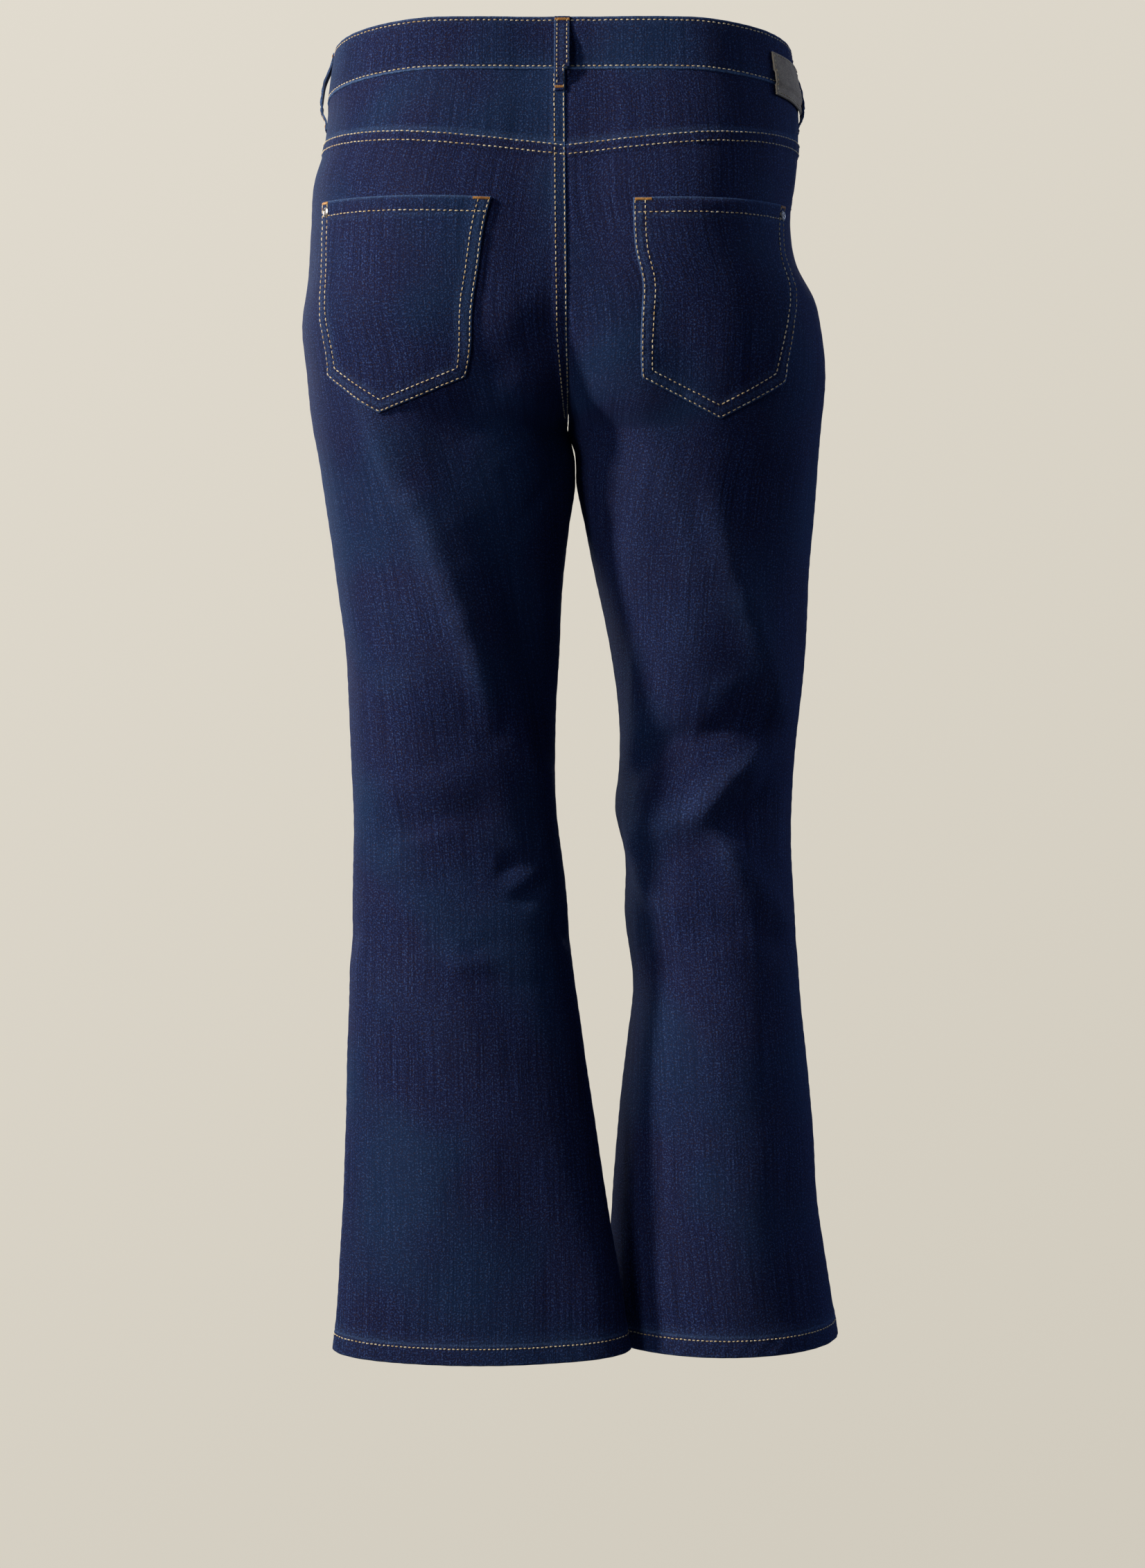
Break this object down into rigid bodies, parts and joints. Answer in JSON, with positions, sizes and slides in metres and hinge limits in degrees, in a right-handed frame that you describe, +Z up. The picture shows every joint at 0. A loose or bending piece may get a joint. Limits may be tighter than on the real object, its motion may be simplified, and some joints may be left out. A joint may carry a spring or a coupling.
{
  "type": "bootcut jeans",
  "caption": "Cropped bootcut jeans in dark indigo stretch denim, standing in their worn hollow form with one knee forward, open at the waist and both hems",
  "frame": {"origin": "centre of the waist opening, at half the height of the waistband", "axes": "+Z up, the front of the jeans faces -Y, +X is the wearer's left"},
  "size_m": [0.4165, 0.2636, 1.0159],
  "materials": {
    "denim": "dark indigo twill with golden stitching",
    "thread": "golden topstitching thread",
    "leather": "smooth taupe leather, bare",
    "button_metal": "dull old brass",
    "rivet_metal": "dull bronze",
    "zip_tape": "woven tape"
  },
  "bodies": {
    "root": {"front_left": "denim", "front_right": "denim", "back_left": "denim", "back_right": "denim", "yoke_left": "denim", "yoke_right": "denim", "waistband": "denim", "back_pocket_left": "denim", "back_pocket_right": "denim", "front_pocket_facing_left": "denim", "front_pocket_facing_right": "denim", "belt_loop_back": "denim", "belt_loop_side_left": "denim", "belt_loop_side_right": "denim", "belt_loop_front_left": "denim", "belt_loop_front_right": "denim", "leather_patch": "leather", "fly_button": "button_metal", "pocket_rivet_left": "rivet_metal", "pocket_rivet_right": "rivet_metal", "fly_zip": "zip_tape"}
  },
  "joints": []
}
